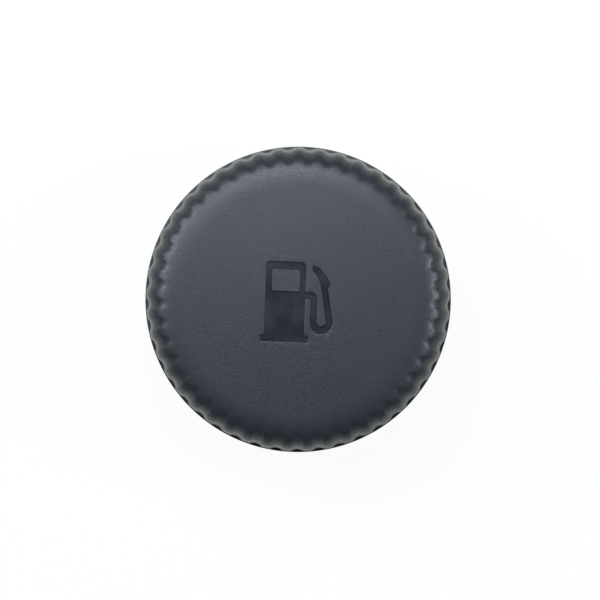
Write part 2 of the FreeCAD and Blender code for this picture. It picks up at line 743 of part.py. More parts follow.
def makeBottomGuard():
    """Slotted cap in the barrel's foot. A bead on its rim snaps into the barrel's groove."""
    body = newBody("bottom_guard")
    outer = f"({bore} - fitGap)"
    bead = "(guardSetBack + guardThickness + fitGap / 2)"
    rimTop = "(guardSetBack + guardRimHeight)"
    turned(body, "bottomGuardForm", [
        ("0", "guardSetBack"),
        (outer, "guardSetBack"),
        (outer, bead),
        (f"{outer} + guardBead", bead),
        (f"{outer} + guardBead", f"{bead} + guardBeadHeight / 2"),
        (outer, f"{bead} + guardBeadHeight"),
        (outer, rimTop),
        (f"{outer} - guardRimWall", rimTop),
        (f"{outer} - guardRimWall", "guardSetBack + guardThickness"),
        ("0", "guardSetBack + guardThickness"),
    ])
    slots = newSketch(body, "slotSection", "XY_Plane", "guardSetBack - fitGap")
    drawOutline(slots, box("slotInner", "-slotWidth / 2", "slotOuter", "slotWidth / 2"))
    slot = extruded(body, "slot", slots, "guardThickness + fitGap * 2", "PartDesign::Pocket")
    repeated(body, "slots", [slot], "slotCount")
    return body


makers = [
    makeKnob, makePawlRing, makeRatchetRing, makeRatchetClip, makeThrustWasher, makeRetainingRing,
    makeClosure, makeNeckSeal, makeSeatPlate, makeSeatSeal, makeSeatCirclip, makePressurePlate,
    makePressureGasket, makePressureSpring, makeSpringCup, makeVacuumPoppet, makeVacuumSpring,
    makeVacuumKeeper, makeBottomGuard,
]
bodies = [maker() for maker in makers]
doc.recompute()

faults = [item.Name for item in doc.Objects if "Invalid" in item.State or "Error" in item.State]
faults += [body.Name for body in bodies if body.Shape.isNull() or not body.Shape.isValid()]
if faults:
    raise RuntimeError("failed: " + ", ".join(faults))
for body in bodies:
    print(body.Label, len(body.Shape.Solids), round(body.Shape.Volume, 1))
    body.Shape.exportStep(f"parts/{body.Label}.step")
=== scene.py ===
import bpy
import bmesh
import math
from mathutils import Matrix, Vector


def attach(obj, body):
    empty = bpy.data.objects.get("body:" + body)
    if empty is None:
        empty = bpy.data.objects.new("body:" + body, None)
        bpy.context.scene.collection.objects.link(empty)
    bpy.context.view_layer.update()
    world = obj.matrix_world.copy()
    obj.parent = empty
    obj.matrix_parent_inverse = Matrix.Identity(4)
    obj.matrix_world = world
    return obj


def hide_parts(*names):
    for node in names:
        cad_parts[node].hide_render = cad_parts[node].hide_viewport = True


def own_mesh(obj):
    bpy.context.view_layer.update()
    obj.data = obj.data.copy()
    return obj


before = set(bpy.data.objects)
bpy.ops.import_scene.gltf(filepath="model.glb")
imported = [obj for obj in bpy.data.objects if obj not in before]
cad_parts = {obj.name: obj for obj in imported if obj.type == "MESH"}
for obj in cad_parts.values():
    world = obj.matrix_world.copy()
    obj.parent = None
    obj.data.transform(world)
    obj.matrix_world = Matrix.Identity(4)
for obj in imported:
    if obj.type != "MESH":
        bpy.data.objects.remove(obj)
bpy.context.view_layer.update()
mm = 0.001  # metres; all sizes below are in millimetres unless they say otherwise


# Small helpers for working in edit mode

def pick(*pieces):  # only these selected, the first one active
    if bpy.context.object and bpy.context.object.mode != "OBJECT":
        bpy.ops.object.mode_set(mode="OBJECT")
    bpy.ops.object.select_all(action="DESELECT")
    for piece in pieces:
        piece.select_set(True)
    if pieces:
        bpy.context.view_layer.objects.active = pieces[0]


def edit(piece):
    pick(piece)
    bpy.ops.object.mode_set(mode="EDIT")


def leaveEdit():
    bpy.ops.object.mode_set(mode="OBJECT")


def choose(test, kind="VERT"):  # selects points, edges or faces by their place
    bpy.ops.mesh.select_mode(type=kind)
    bpy.ops.mesh.select_all(action="DESELECT")
    shape = bmesh.from_edit_mesh(bpy.context.object.data)
    for part in {"VERT": shape.verts, "EDGE": shape.edges, "FACE": shape.faces}[kind]:
        if test(part):
            part.select_set(True)
    shape.select_flush_mode()
    bmesh.update_edit_mesh(bpy.context.object.data)


def placeOf(part):  # middle of a point, edge or face, as (radius, height) in mm
    if isinstance(part, bmesh.types.BMVert):
        spot = part.co
    elif isinstance(part, bmesh.types.BMEdge):
        spot = (part.verts[0].co + part.verts[1].co) / 2
    else:
        spot = part.calc_center_median()
    return math.hypot(spot.x, spot.y) / mm, spot.z / mm


def startPoint(name, x, y, z):  # a plane merged to one point, ready to be extruded; left in edit mode
    pick()
    bpy.ops.mesh.primitive_plane_add(size=mm, location=(0, 0, 0))
    piece = bpy.context.object
    piece.name = piece.data.name = name
    bpy.ops.object.mode_set(mode="EDIT")
    bpy.ops.mesh.select_mode(type="VERT")
    bpy.ops.mesh.select_all(action="SELECT")
    bpy.ops.mesh.merge(type="CENTER")
    bpy.ops.transform.translate(value=(x * mm, y * mm, z * mm))
    return piece


def drawOn(points):  # extrudes the selected point along the rest of a line of (x, y, z)
    for before, after in zip(points, points[1:]):
        step = [(b - a) * mm for a, b in zip(before, after)]
        bpy.ops.mesh.extrude_region_move(TRANSFORM_OT_translate={"value": step})


def quarterTurn(steps):  # the angles from 0 to 90 degrees that round a corner in so many steps
    return [math.radians(90 * step / steps) for step in range(steps + 1)]


def turnedPiece(name, profile, steps, degrees=360, closed=False):  # spins a profile of (radius, height)
    points = [(radius, 0, height) for radius, height in profile]
    if closed:
        points.append(points[0])
    piece = startPoint(name, *points[0])
    drawOn(points)
    bpy.ops.mesh.select_all(action="SELECT")
    bpy.ops.mesh.remove_doubles(threshold=1e-7)
    bpy.ops.mesh.select_all(action="SELECT")
    bpy.ops.mesh.spin(steps=steps, angle=math.radians(degrees), center=(0, 0, 0), axis=(0, 0, 1))
    bpy.ops.mesh.select_all(action="SELECT")
    bpy.ops.mesh.remove_doubles(threshold=1e-6)
    bpy.ops.mesh.normals_make_consistent(inside=False)
    leaveEdit()
    return piece


def copiesRound(piece, count):  # repeats the whole mesh evenly about the axis
    edit(piece)
    bpy.ops.mesh.select_all(action="SELECT")
    bpy.ops.mesh.spin(steps=count - 1, dupli=True, angle=math.radians(360 - 360 / count),
                      center=(0, 0, 0), axis=(0, 0, 1))
    leaveEdit()


def applyAll(piece):
    pick(piece)
    for modifier in list(piece.modifiers):
        bpy.ops.object.modifier_apply(modifier=modifier.name)


def smooth(piece, degrees=35):  # smooth shading that large flat faces keep flat
    pick(piece)
    bpy.ops.object.shade_smooth_by_angle(angle=math.radians(degrees))
    weighted = piece.modifiers.new("weighted", "WEIGHTED_NORMAL")
    weighted.keep_sharp = True
    applyAll(piece)


def mergeMesh(piece, distance=0.002):
    edit(piece)
    bpy.ops.mesh.select_all(action="SELECT")
    bpy.ops.mesh.remove_doubles(threshold=distance * mm)
    bpy.ops.mesh.normals_make_consistent(inside=False)
    leaveEdit()


def combine(piece, tool, operation="DIFFERENCE"):  # boolean with a tool that is used up
    boolean = piece.modifiers.new("combine", "BOOLEAN")
    boolean.operation = operation
    boolean.solver = "EXACT"
    boolean.object = tool
    applyAll(piece)
    bpy.data.objects.remove(tool)


# Materials

def toLinear(hexColour):  # sRGB hex to the linear colour that shaders take
    parts = [int(hexColour[place:place + 2], 16) / 255 for place in (1, 3, 5)]
    return (*[part / 12.92 if part <= 0.04045 else ((part + 0.055) / 1.055) ** 2.4 for part in parts], 1)


def addNode(tree, kind, settings=None, links=None):  # one node with its settings and what feeds it
    node = tree.nodes.new(kind)
    for name, given in (settings or {}).items():
        if isinstance(name, str) and hasattr(node, name):
            setattr(node, name, given)
        else:
            node.inputs[name].default_value = given
    for name, source in (links or {}).items():
        tree.links.new(source, node.inputs[name])
    return node


def newMaterial(name, colour, roughness, ior=None, metallic=0.0):
    material = bpy.data.materials.new(name)
    material.use_nodes = True
    tree = material.node_tree
    shader = tree.nodes["Principled BSDF"]
    shader.inputs["Base Color"].default_value = toLinear(colour)
    shader.inputs["Roughness"].default_value = roughness
    shader.inputs["Metallic"].default_value = metallic
    if ior:
        shader.inputs["IOR"].default_value = ior
    place = addNode(tree, "ShaderNodeTexCoord").outputs["Object"]
    return material, tree, shader, place


def noiseAt(tree, place, width, detail=2.0):  # a noise whose features are about width mm wide
    return addNode(tree, "ShaderNodeTexNoise", {"Scale": 1 / (width * mm), "Detail": detail},
                   {"Vector": place})


def roughBy(tree, shader, noise, roughness, spread):  # lets the noise vary the roughness by the spread
    rough = addNode(tree, "ShaderNodeMapRange",
                    {"To Min": roughness - spread, "To Max": roughness + spread}, {"Value": noise.outputs["Fac"]})
    tree.links.new(rough.outputs[0], shader.inputs["Roughness"])


def bumpBy(tree, shader, noise, height):  # lets the noise raise the surface by about the height
    bump = addNode(tree, "ShaderNodeBump", {"Distance": height * mm}, {"Height": noise.outputs["Fac"]})
    tree.links.new(bump.outputs[0], shader.inputs["Normal"])


grainedPlastic = {  # black polyamide from a spark-eroded mould: fine even grain, soft sheen
    "colour": "#1a1e24",
    "paler": "#21262d",
    "ior": 1.53,
    "roughness": 0.43,
    "roughnessSpread": 0.22,
    "grainWidth": 0.42,  # the real grain is about 0.1 mm, too fine to show
    "grainHeight": 0.04,
    "grainDetail": 3.0,
    "cloudWidth": 12.0,  # slow changes where the melt flowed
    "cloudDetail": 4.0,
}


def polyamideMouldedGrain():
    values = grainedPlastic
    material, tree, shader, place = newMaterial("polyamideMouldedGrain", values["colour"],
                                                values["roughness"], values["ior"])
    grain = noiseAt(tree, place, values["grainWidth"], values["grainDetail"])
    cloud = noiseAt(tree, place, values["cloudWidth"], values["cloudDetail"])
    tint = addNode(tree, "ShaderNodeMix", {"data_type": "RGBA"}, {0: cloud.outputs["Fac"]})
    tint.inputs[6].default_value = toLinear(values["colour"])
    tint.inputs[7].default_value = toLinear(values["paler"])
    tree.links.new(tint.outputs[2], shader.inputs["Base Color"])
    roughBy(tree, shader, grain, values["roughness"], values["roughnessSpread"])
    bumpBy(tree, shader, grain, values["grainHeight"])
    return material


recessFloorShadedSmooth = {  # the same moulding over a finer insert: the symbol's floor is smoother, and its darker colour is painted shade of the recess
    # painted shade: darker than the knob's own colour, to darken the recess
    "colour": "#12171d",
    "ior": 1.53,
    "roughness": 0.27,
    "roughnessSpread": 0.30,  # paler where the melt met the insert first
    "cloudWidth": 13.0,
    "grainWidth": 0.8,
    "grainHeight": 0.008,
}


# The symbol's floor: a smoother finish, and a darker colour that is painted shade of the recess
def polyamideRecessShadedSmooth():
    values = recessFloorShadedSmooth
    material, tree, shader, place = newMaterial("polyamideRecessShadedSmooth", values["colour"],
                                                values["roughness"], values["ior"])
    grain = noiseAt(tree, place, values["grainWidth"])
    cloud = noiseAt(tree, place, values["cloudWidth"])
    roughBy(tree, shader, cloud, values["roughness"], values["roughnessSpread"])
    bumpBy(tree, shader, grain, values["grainHeight"])
    return material


plainFinishes = {  # what is under the knob: colour, roughness, ior, metallic, width and height of the grain
    # black closure: even soft gloss of a polished mould
    "acetalSmoothMoulded": ("#16171a", 0.34, 1.48, 0.0, 1.2, 0.004),
    # undyed ratchet and poppet: milky off-white
    "acetalNaturalMoulded": ("#d6d2c4", 0.38, 1.48, 0.0, 1.0, 0.003),
    # washer: waxy, faintly rolled
    "polyethyleneStampedSheet": ("#cfd0cb", 0.50, 1.52, 0.0, 2.5, 0.006),
    # seals: dull black that takes broad highlights
    "nitrileMouldedRubber": ("#121314", 0.62, 1.52, 0.0, 0.7, 0.012),
    # wire and snap rings: grey, streaked by the die
    "springSteelDrawn": ("#8d8c88", 0.30, None, 1.0, 0.4, 0.002),
    # valve plate and cup: pale, slightly cloudy
    "steelZincPlated": ("#b4b2a8", 0.34, None, 1.0, 1.6, 0.004),
}
plainSpread = 0.06  # how far their roughness varies either way


def plainMaterial(name):
    colour, roughness, ior, metallic, grainWidth, grainHeight = plainFinishes[name]
    material, tree, shader, place = newMaterial(name, colour, roughness, ior, metallic)
    grain = noiseAt(tree, place, grainWidth)
    roughBy(tree, shader, grain, roughness, plainSpread)
    bumpBy(tree, shader, grain, grainHeight)
    return material


knobPlastic = polyamideMouldedGrain()
symbolPlastic = polyamideRecessShadedSmooth()
finishes = {slot: plainMaterial(name) for slot, name in {
    "closure_plastic": "acetalSmoothMoulded",
    "ratchet_plastic": "acetalNaturalMoulded",
    "washer_plastic": "polyethyleneStampedSheet",
    "seal_rubber": "nitrileMouldedRubber",
    "spring_steel": "springSteelDrawn",
    "plated_steel": "steelZincPlated",
}.items()}
print("materials made")


# Knob. One flute's share of the whole section is turned and shaped, then copied round.

knobSizes = {
    "radius": 40.5,
    "bottom": 18.0,
    "top": 41.5,
    "flutes": 45,
    "columns": 24,  # faces across one flute's share
    "wallRows": 8,
    "shoulderRows": 20,
    "rowPower": 1.6,  # the higher, the closer the rows lie where the shoulder meets the wall
    "lipHeight": 2.6,
    "lipStep": 0.2,
    "lipRound": 0.32,  # radius of the lip's lower edge
    "lipEdge": ((0, -0.14), (-0.04, -0.04), (-0.13, 0)),  # (out, up) from the corner of its upper edge
    "domeRadius": 640.0,
    "domeEdge": 30.2,  # where the dome starts to bend down to the shoulder
    "bend": 5.8,  # radius of the shoulder's tightest part
    "bendEase": 78.0,  # how much wider the bend is where it starts
    "bendReach": 5.0,  # degrees over which that eases off
    "curveStep": 0.05,  # degrees of tilt from one point of the shoulder's curve to the next
    "topDraft": 4.0,  # degrees that the wall leans in at its top; less at its foot
    "onSurface": 0.05,  # how near the wall or shoulder a point has to lie to be on it
    "fluteStart": 0.03,  # height above the lip at which the flutes start
    "fluteDepth": 0.72,
    "footShare": 0.75,  # share of that depth just above the lip
    "shoulderShare": 0.8,  # share of it on the shoulder
    "shareRate": 3.0,  # the higher, the sooner the depth falls to that share over the shoulder
    "fluteRadius": 2.8,
    "fluteEdge": 0.14,  # how softly the flute's edges run into the lobes
    "fluteEnd": 9.0,  # degrees of tilt at which a flute has run out on the shoulder
    "runOutPower": 2.8,  # the higher, the further a flute keeps its depth over the shoulder
    "runOutRise": 0.02,  # how far past the surface the flute's bottom ends up
    "fadePower": 6,  # the higher, the later the flute's soft edges fade too
    "rimInner": 29.6,  # radius where the rim meets the crown's middle
    "faceOuter": 28.5,
    "faceBlock": 2.0,  # thickness of the disc that the symbol is cut from, before it is opened below
    "faceRings": (25.5, 22.5, 19.5, 17.0, 15.0, 13.0, 11.0, 9.0, 7.0, 5.0, 3.0),
    "faceSteps": 120,
    # inside: the skirt's inner wall and the drive ring that holds the pawl ring and the retaining ring
    "ceiling": 38.2,
    "ceilingRings": (20, 10),
    "ringRoot": 31.7,  # inner radius of the drive ring where it meets the ceiling
    "ringBore": 33.4,
    "ringShelf": 35.1,  # height of the step between the two
    "ringOuter": 35.3,
    "ringBottom": 24.5,
    "ringEdge": 0.3,
    "grooveRadius": 34.35,
    "grooveTop": 27.3,
    "grooveBottom": 26.2,
    "skirtTop": 36.35,  # inner radius of the skirt at its top
    "skirtFoot": 37.98,
    "skirtEdge": 0.27,
    "rootCorner": 0.2,
    "ringFillet": ((0, -0.5), (0.2, -0.05)),  # (out, up) from where the ring's outside meets the ceiling
    "skirtFillet": ((-0.25, -0.05), (0, -0.4)),  # (out, up) from where the skirt's inside does
}
size = knobSizes
lipTop = size["bottom"] + size["lipHeight"]
wallFoot = size["radius"] - size["lipStep"]
topDraft = math.radians(size["topDraft"])


def domeHeight(radius):
    return size["top"] - size["domeRadius"] + math.sqrt(size["domeRadius"] ** 2 - radius ** 2)


def shoulderCurve():  # (radius, height, tilt) from the dome out and down to the wall, in fine steps
    radius, height = size["domeEdge"], domeHeight(size["domeEdge"])
    tilt = math.asin(radius / size["domeRadius"])
    step = math.radians(size["curveStep"])
    curve = [(radius, height, tilt)]
    while tilt < math.pi / 2 - topDraft:
        bend = size["bend"] + size["bendEase"] * math.exp(-math.degrees(tilt) / size["bendReach"])
        radius += bend * step * math.cos(tilt)
        height -= bend * step * math.sin(tilt)
        tilt += step
        curve.append((radius, height, tilt))
    return curve


shoulder = shoulderCurve()
wallTop, wallEndZ, lastTilt = shoulder[-1]
footLean = 2 * (wallFoot - wallTop) / (wallEndZ - lipTop) - math.tan(topDraft)
wallBow = (math.tan(topDraft) - footLean) / (2 * (wallEndZ - lipTop))
print("wall from", wallFoot, "to", round(wallTop, 2), round(wallEndZ, 2), "lean", round(footLean, 3))


def wallRadius(height):
    return wallFoot - footLean * (height - lipTop) - wallBow * (height - lipTop) ** 2


def rimProfile():  # from the ceiling out, down inside, round the lip, up the wall and over the shoulder
    ceiling, root, corner = size["ceiling"], size["ringRoot"], size["rootCorner"]
    bore, outer, foot, edge = size["ringBore"], size["ringOuter"], size["ringBottom"], size["ringEdge"]
    groove, high, low = size["grooveRadius"], size["grooveTop"], size["grooveBottom"]
    points = [(size["rimInner"], ceiling), (root - corner, ceiling), (root, ceiling - corner)]
    points += [(root, size["ringShelf"]), (bore, size["ringShelf"])]
    points += [(bore, high), (groove, high), (groove, low), (bore, low)]
    points += [(bore, foot + edge), (bore + edge, foot), (outer - edge, foot), (outer, foot + edge)]
    points += [(outer + out, ceiling + up) for out, up in size["ringFillet"]]
    points += [(size["skirtTop"] + out, ceiling + up) for out, up in size["skirtFillet"]]
    points.append((size["skirtFoot"], size["bottom"] + edge))
    points.append((size["skirtFoot"] + size["skirtEdge"], size["bottom"]))
    lip = size["lipRound"]
    points += [(size["radius"] - lip * (1 - math.sin(turn)), size["bottom"] + lip * (1 - math.cos(turn)))
               for turn in quarterTurn(3)]
    points += [(size["radius"] + out, lipTop + up) for out, up in size["lipEdge"]]
    points.append((wallFoot, lipTop))
    first = lipTop + size["fluteStart"]
    for row in range(size["wallRows"]):
        height = first + (wallEndZ - first) * row / size["wallRows"]
        points.append((wallRadius(height), height))
    rows = size["shoulderRows"]
    last = len(shoulder) - 1
    points += [shoulder[round(last * (1 - row / rows) ** size["rowPower"])][:2] for row in range(rows + 1)]
    return points + [(size["rimInner"], domeHeight(size["rimInner"]))]


def fluteShare(point):  # how deep the flute is here, as a share of its full depth
    radius, height = math.hypot(point.x, point.y) / mm, point.z / mm
    near = min(shoulder, key=lambda spot: math.hypot(spot[0] - radius, spot[1] - height))
    offWall = abs(radius - wallRadius(height))
    offShoulder = math.hypot(near[0] - radius, near[1] - height)
    onWall = lipTop + size["fluteStart"] / 2 < height <= wallEndZ and offWall < size["onSurface"]
    onShoulder = height > wallEndZ and offShoulder < size["onSurface"]
    if not onWall and not onShoulder:
        return 0.0
    pitch = math.radians(360 / size["flutes"])
    angle = math.atan2(point.y, point.x)
    across = radius * math.sin(angle - pitch * round(angle / pitch))
    over = (lastTilt - near[2]) / (lastTilt - math.radians(size["fluteEnd"])) if onShoulder else 0.0
    runOut = min(1.0, over) ** size["runOutPower"]
    climb = min(1.0, (height - lipTop) / (wallEndZ - lipTop))
    depth = size["fluteDepth"] * (size["footShare"] + (1 - size["footShare"]) * climb)
    depth *= 1 - (1 - size["shoulderShare"]) * min(1.0, over * size["shareRate"])
    cutter, edge = size["fluteRadius"], size["fluteEdge"]
    if abs(across) >= cutter:
        return 0.0
    reach = math.sqrt(cutter ** 2 - across ** 2) - (cutter - depth) - (depth + size["runOutRise"]) * runOut
    if reach < -3 * edge or over >= 1:  # so far outside the flute that nothing of its soft edge is left
        return 0.0
    fade = 1 - over ** size["fadePower"]
    return (reach + math.sqrt(reach ** 2 + edge ** 2)) / 2 * fade / size["fluteDepth"]


def makeRim():
    rim = turnedPiece("knob", rimProfile(), size["columns"], 360 / size["flutes"])
    edit(rim)
    bpy.ops.mesh.select_all(action="SELECT")
    bpy.ops.mesh.normals_make_consistent(inside=False)
    leaveEdit()
    crown = [face.normal.z for face in rim.data.polygons if face.center.z > (size["top"] - 1.0) * mm]
    if crown[0] < 0:  # an open strip may come out inside out
        edit(rim)
        bpy.ops.mesh.select_all(action="SELECT")
        bpy.ops.mesh.flip_normals()
        leaveEdit()
    flute = rim.vertex_groups.new(name="flute")
    for vert in rim.data.vertices:
        flute.add([vert.index], fluteShare(vert.co), "REPLACE")
    push = rim.modifiers.new("flute", "DISPLACE")
    push.direction = "NORMAL"
    push.mid_level = 0
    push.vertex_group = "flute"
    push.strength = -size["fluteDepth"] * mm
    applyAll(rim)
    rim.vertex_groups.clear()
    copiesRound(rim, size["flutes"])
    mergeMesh(rim, 0.01)
    return rim


rim = makeRim()
print("knob rim", len(rim.data.polygons), "faces", [round(v / mm, 2) for v in rim.dimensions])


# Pump symbol. Each step of an outline is where a line ends (x, y), or where an arc ends
# (x, y, radius, side) that turns left (side 1) or right (side -1).

symbolSizes = {
    "depth": 0.5,
    "edgeRound": 0.18,
    "clear": 0.8,  # how far the cutters reach past the face
    "floorStep": 0.003,  # between the floors of the pump and the hose, which may not lie in one plane
}
pumpSteps = [
    (-9.4, -11.3, 0.3, 1), (2.65, -11.3), (2.95, -11.0, 0.3, 1), (2.95, -9.7), (1.8, -9.7),
    (1.8, 8.33), (0.5, 9.63, 1.3, 1), (-7.35, 9.63), (-8.65, 8.33, 1.3, 1), (-8.65, -9.7),
    (-9.7, -9.7), (-9.7, -11.0),
]
windowSteps = [
    (-6.5, 1.87, 0.6, 1), (-0.26, 1.87), (0.34, 2.47, 0.6, 1), (0.34, 7.15),
    (-0.26, 7.75, 0.6, 1), (-6.5, 7.75), (-7.1, 7.15, 0.6, 1), (-7.1, 2.47),
]
hoseSteps = [
    (1.3, 1.8), (1.3, 0.25), (2.63, 0.25), (3.28, -0.4, 0.65, -1), (3.28, -5.9),
    (6.25, -8.87, 2.97, 1), (9.18, -5.39, 2.97, 1), (7.7, 3.07), (8.36, 4.11), (7.27, 6.1),
    (4.94, 8.54), (3.51, 8.89), (3.45, 7.87), (4.62, 6.6), (5.49, 5.01), (5.97, 3.0),
    (7.45, -5.69), (6.25, -7.1, 1.2, -1), (5.05, -5.9, 1.2, -1), (5.05, 0.0), (3.25, 1.8, 1.8, 1),
]


def outlinePoints(steps, spacing=1.5, arcStep=0.3):
    points = []
    for index, step in enumerate(steps):
        start, end = Vector(steps[index - 1][:2]), Vector(step[:2])
        if len(step) == 2:
            pieces = max(1, round((end - start).length / spacing))
            points += [start.lerp(end, (piece + 1) / pieces) for piece in range(pieces)]
            continue
        radius, side = step[2:]
        chord = end - start
        across = Vector((-chord.y, chord.x)).normalized()
        rise = math.sqrt(max(radius ** 2 - chord.length_squared / 4, 0))
        centre = (start + end) / 2 + across * side * rise
        first, last = (math.atan2(*(point - centre).yx) for point in (start, end))
        sweep = (last - first) * side % math.tau * side
        pieces = max(3, round(abs(sweep) * radius / arcStep))
        turns = [first + sweep * (piece + 1) / pieces for piece in range(pieces)]
        points += [centre + radius * Vector((math.cos(turn), math.sin(turn))) for turn in turns]
    return points


def widened(points, distance):  # each point moved out along the corner's bisector
    moved = []
    for index, point in enumerate(points):
        before = (point - points[index - 1]).normalized()
        after = (points[(index + 1) % len(points)] - point).normalized()
        outward = Vector((before.y, -before.x)) + Vector((after.y, -after.x))
        moved.append(point + outward * (distance * 2 / outward.length_squared))
    return moved


def edgeSteps(corner, falling):  # (inset, drop) of the strips that round an edge, falling or rising
    turns = quarterTurn(3)
    steps = []
    for before, after in zip(turns, turns[1:]):
        level, steep = math.sin(after) - math.sin(before), math.cos(before) - math.cos(after)
        steps.append((corner * level, corner * steep) if falling else (corner * steep, corner * level))
    return steps


def makeTool(name, points, startZ, firstZ, steps, endZ):  # a prism along Z whose sides narrow by the steps
    tool = startPoint(name, points[0].x, points[0].y, startZ)
    drawOn([(point.x, point.y, startZ) for point in points + points[:1]])
    bpy.ops.mesh.select_all(action="SELECT")
    bpy.ops.mesh.remove_doubles(threshold=1e-7)
    bpy.ops.mesh.select_all(action="SELECT")
    bpy.ops.mesh.edge_face_add()
    choose(lambda face: True, "FACE")
    bpy.ops.mesh.extrude_region_move(TRANSFORM_OT_translate={"value": (0, 0, (firstZ - startZ) * mm)})
    bpy.ops.mesh.select_all(action="SELECT")
    bpy.ops.mesh.normals_make_consistent(inside=False)
    choose(lambda face: abs(placeOf(face)[1] - firstZ) < 0.001, "FACE")
    for inset, drop in steps:
        bpy.ops.mesh.inset(thickness=inset * mm, depth=drop * mm)
    height = firstZ + sum(drop for _, drop in steps) * (1 if endZ > firstZ else -1)
    bpy.ops.mesh.extrude_region_move(TRANSFORM_OT_translate={"value": (0, 0, (endZ - height) * mm)})
    bpy.ops.mesh.select_all(action="SELECT")
    bpy.ops.mesh.normals_make_consistent(inside=False)
    leaveEdit()
    return tool


def makeFace():  # flat for the cuts, then lowered to the dome's form
    top, clear, corner = size["top"], symbolSizes["clear"], symbolSizes["edgeRound"]
    outer = size["faceOuter"]
    below = top - size["faceBlock"]
    profile = [(0, below), (outer, below)] + [(ring, top) for ring in (outer, *size["faceRings"], 0)]
    face = turnedPiece("crown", profile, size["faceSteps"])
    floorZ = top - symbolSizes["depth"]
    pump = makeTool("pumpTool", widened(outlinePoints(pumpSteps), corner), top + clear, top,
                    edgeSteps(corner, True), floorZ)
    window = makeTool("windowTool", outlinePoints(windowSteps), floorZ - clear, top - corner,
                      edgeSteps(corner, False), top + clear * 2)
    combine(pump, window)
    hose = makeTool("hoseTool", widened(outlinePoints(hoseSteps), corner), top + clear, top,
                    edgeSteps(corner, True), floorZ - symbolSizes["floorStep"])
    combine(face, pump)
    combine(face, hose)
    edit(face)
    choose(lambda part: min(vert.co.z for vert in part.verts) < (floorZ - 0.1) * mm, "FACE")
    bpy.ops.mesh.delete(type="FACE")
    leaveEdit()
    face.data.materials.append(knobPlastic)
    face.data.materials.append(symbolPlastic)
    edit(face)
    # the recess below its rounded edge takes the smoother plastic, whose darker colour is painted shade
    face.active_material_index = 1
    choose(lambda part: placeOf(part)[1] < top - corner, "FACE")
    bpy.ops.object.material_slot_assign()
    leaveEdit()
    sink = face.vertex_groups.new(name="sink")
    most = top - domeHeight(outer)
    for vert in face.data.vertices:
        fall = top - domeHeight(math.hypot(vert.co.x, vert.co.y) / mm)
        sink.add([vert.index], min(1, fall / most), "REPLACE")
    lower = face.modifiers.new("dome", "DISPLACE")
    lower.direction = "Z"
    lower.mid_level = 0
    lower.vertex_group = "sink"
    lower.strength = -most * mm
    applyAll(face)
    face.vertex_groups.clear()
    return face


def closeRings(piece, radiusA, radiusB, low, high):  # bridges two open loops that lie about these radii
    edit(piece)
    choose(lambda edge: edge.is_boundary and low < placeOf(edge)[1] < high and
           radiusA - 0.2 < placeOf(edge)[0] < radiusB + 0.2, "EDGE")
    bpy.ops.mesh.bridge_edge_loops()
    leaveEdit()


face = makeFace()
print("crown", len(face.data.polygons), "faces")
ceilingRings = (size["faceOuter"], *size["ceilingRings"], 0)
ceiling = turnedPiece("ceiling", [(ring, size["ceiling"]) for ring in ceilingRings], size["faceSteps"])


# Ribs between the drive ring and the skirt, and keys in the drive ring's bore

insideSizes = {
    "ribs": 15,
    "ribWidth": 1.2,
    "ribInner": 35.1,
    "ribOuter": 37.6,
    "ribTopOuter": 36.7,  # drawn in, to stay clear of the flutes' bottoms
    "ribBottom": 27.0,
    "ribTop": 38.3,
    "keys": 4,
    "keyWidth": 3.0,
    "keyHeight": 0.8,  # how far a key stands out of the bore
    "keyRoot": 0.5,  # how far it is sunk into the ring
    "keyBottom": 31.0,
    "keyTop": 35.3,
    "edgeRound": 0.2,
}


def barsRound(name, count, width, lowX, highX, topX, lowZ, highZ):  # upright bars with rounded lower edges
    pick()
    bpy.ops.mesh.primitive_cube_add(size=mm, location=(0, 0, 0))
    bars = bpy.context.object
    bars.name = bars.data.name = name
    edit(bars)
    bpy.ops.mesh.select_all(action="SELECT")
    bpy.ops.transform.resize(value=(highX - lowX, width, highZ - lowZ))
    bpy.ops.transform.translate(value=((lowX + highX) / 2 * mm, 0, (lowZ + highZ) / 2 * mm))
    choose(lambda part: placeOf(part)[1] > highZ - 0.01 and part.co.x > highX * mm - 1e-6)
    bpy.ops.transform.translate(value=((topX - highX) * mm, 0, 0))
    choose(lambda part: placeOf(part)[1] < lowZ + 0.01, "EDGE")
    bpy.ops.mesh.bevel(offset=insideSizes["edgeRound"] * mm, segments=2, affect="EDGES")
    leaveEdit()
    copiesRound(bars, count)
    bars.data.materials.append(knobPlastic)
    return bars


inside = insideSizes
ribs = barsRound("ribs", inside["ribs"], inside["ribWidth"], inside["ribInner"], inside["ribOuter"],
                 inside["ribTopOuter"], inside["ribBottom"], inside["ribTop"])
keyInner, keyOuter = size["ringBore"] - inside["keyHeight"], size["ringBore"] + inside["keyRoot"]
keys = barsRound("keys", inside["keys"], inside["keyWidth"], keyInner, keyOuter, keyOuter,
                 inside["keyBottom"], inside["keyTop"])
rim.data.materials.append(knobPlastic)
ceiling.data.materials.append(knobPlastic)
pick(rim, face, ceiling)
bpy.ops.object.join()
knob = rim
closeRings(knob, size["faceOuter"], size["rimInner"], size["top"] - 1, size["top"])
closeRings(knob, size["faceOuter"], size["rimInner"], size["ceiling"] - 0.1, size["ceiling"] + 0.1)
mergeMesh(knob)
combine(knob, ribs, "UNION")
combine(knob, keys, "UNION")
mergeMesh(knob, 0.001)
smooth(knob)
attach(knob, "knob_unit")
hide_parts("knob")
print("knob", len(knob.data.polygons), "faces, materials", [m.name for m in knob.data.materials])


# Pieces under the knob: a copy of each CAD piece with its sharp edges rounded

roundSizes = {
    "flat": 0.5,  # degrees up to which neighbouring faces are merged into one
    "sharp": 40,  # degrees from which an edge is rounded
    "segments": 2,
}


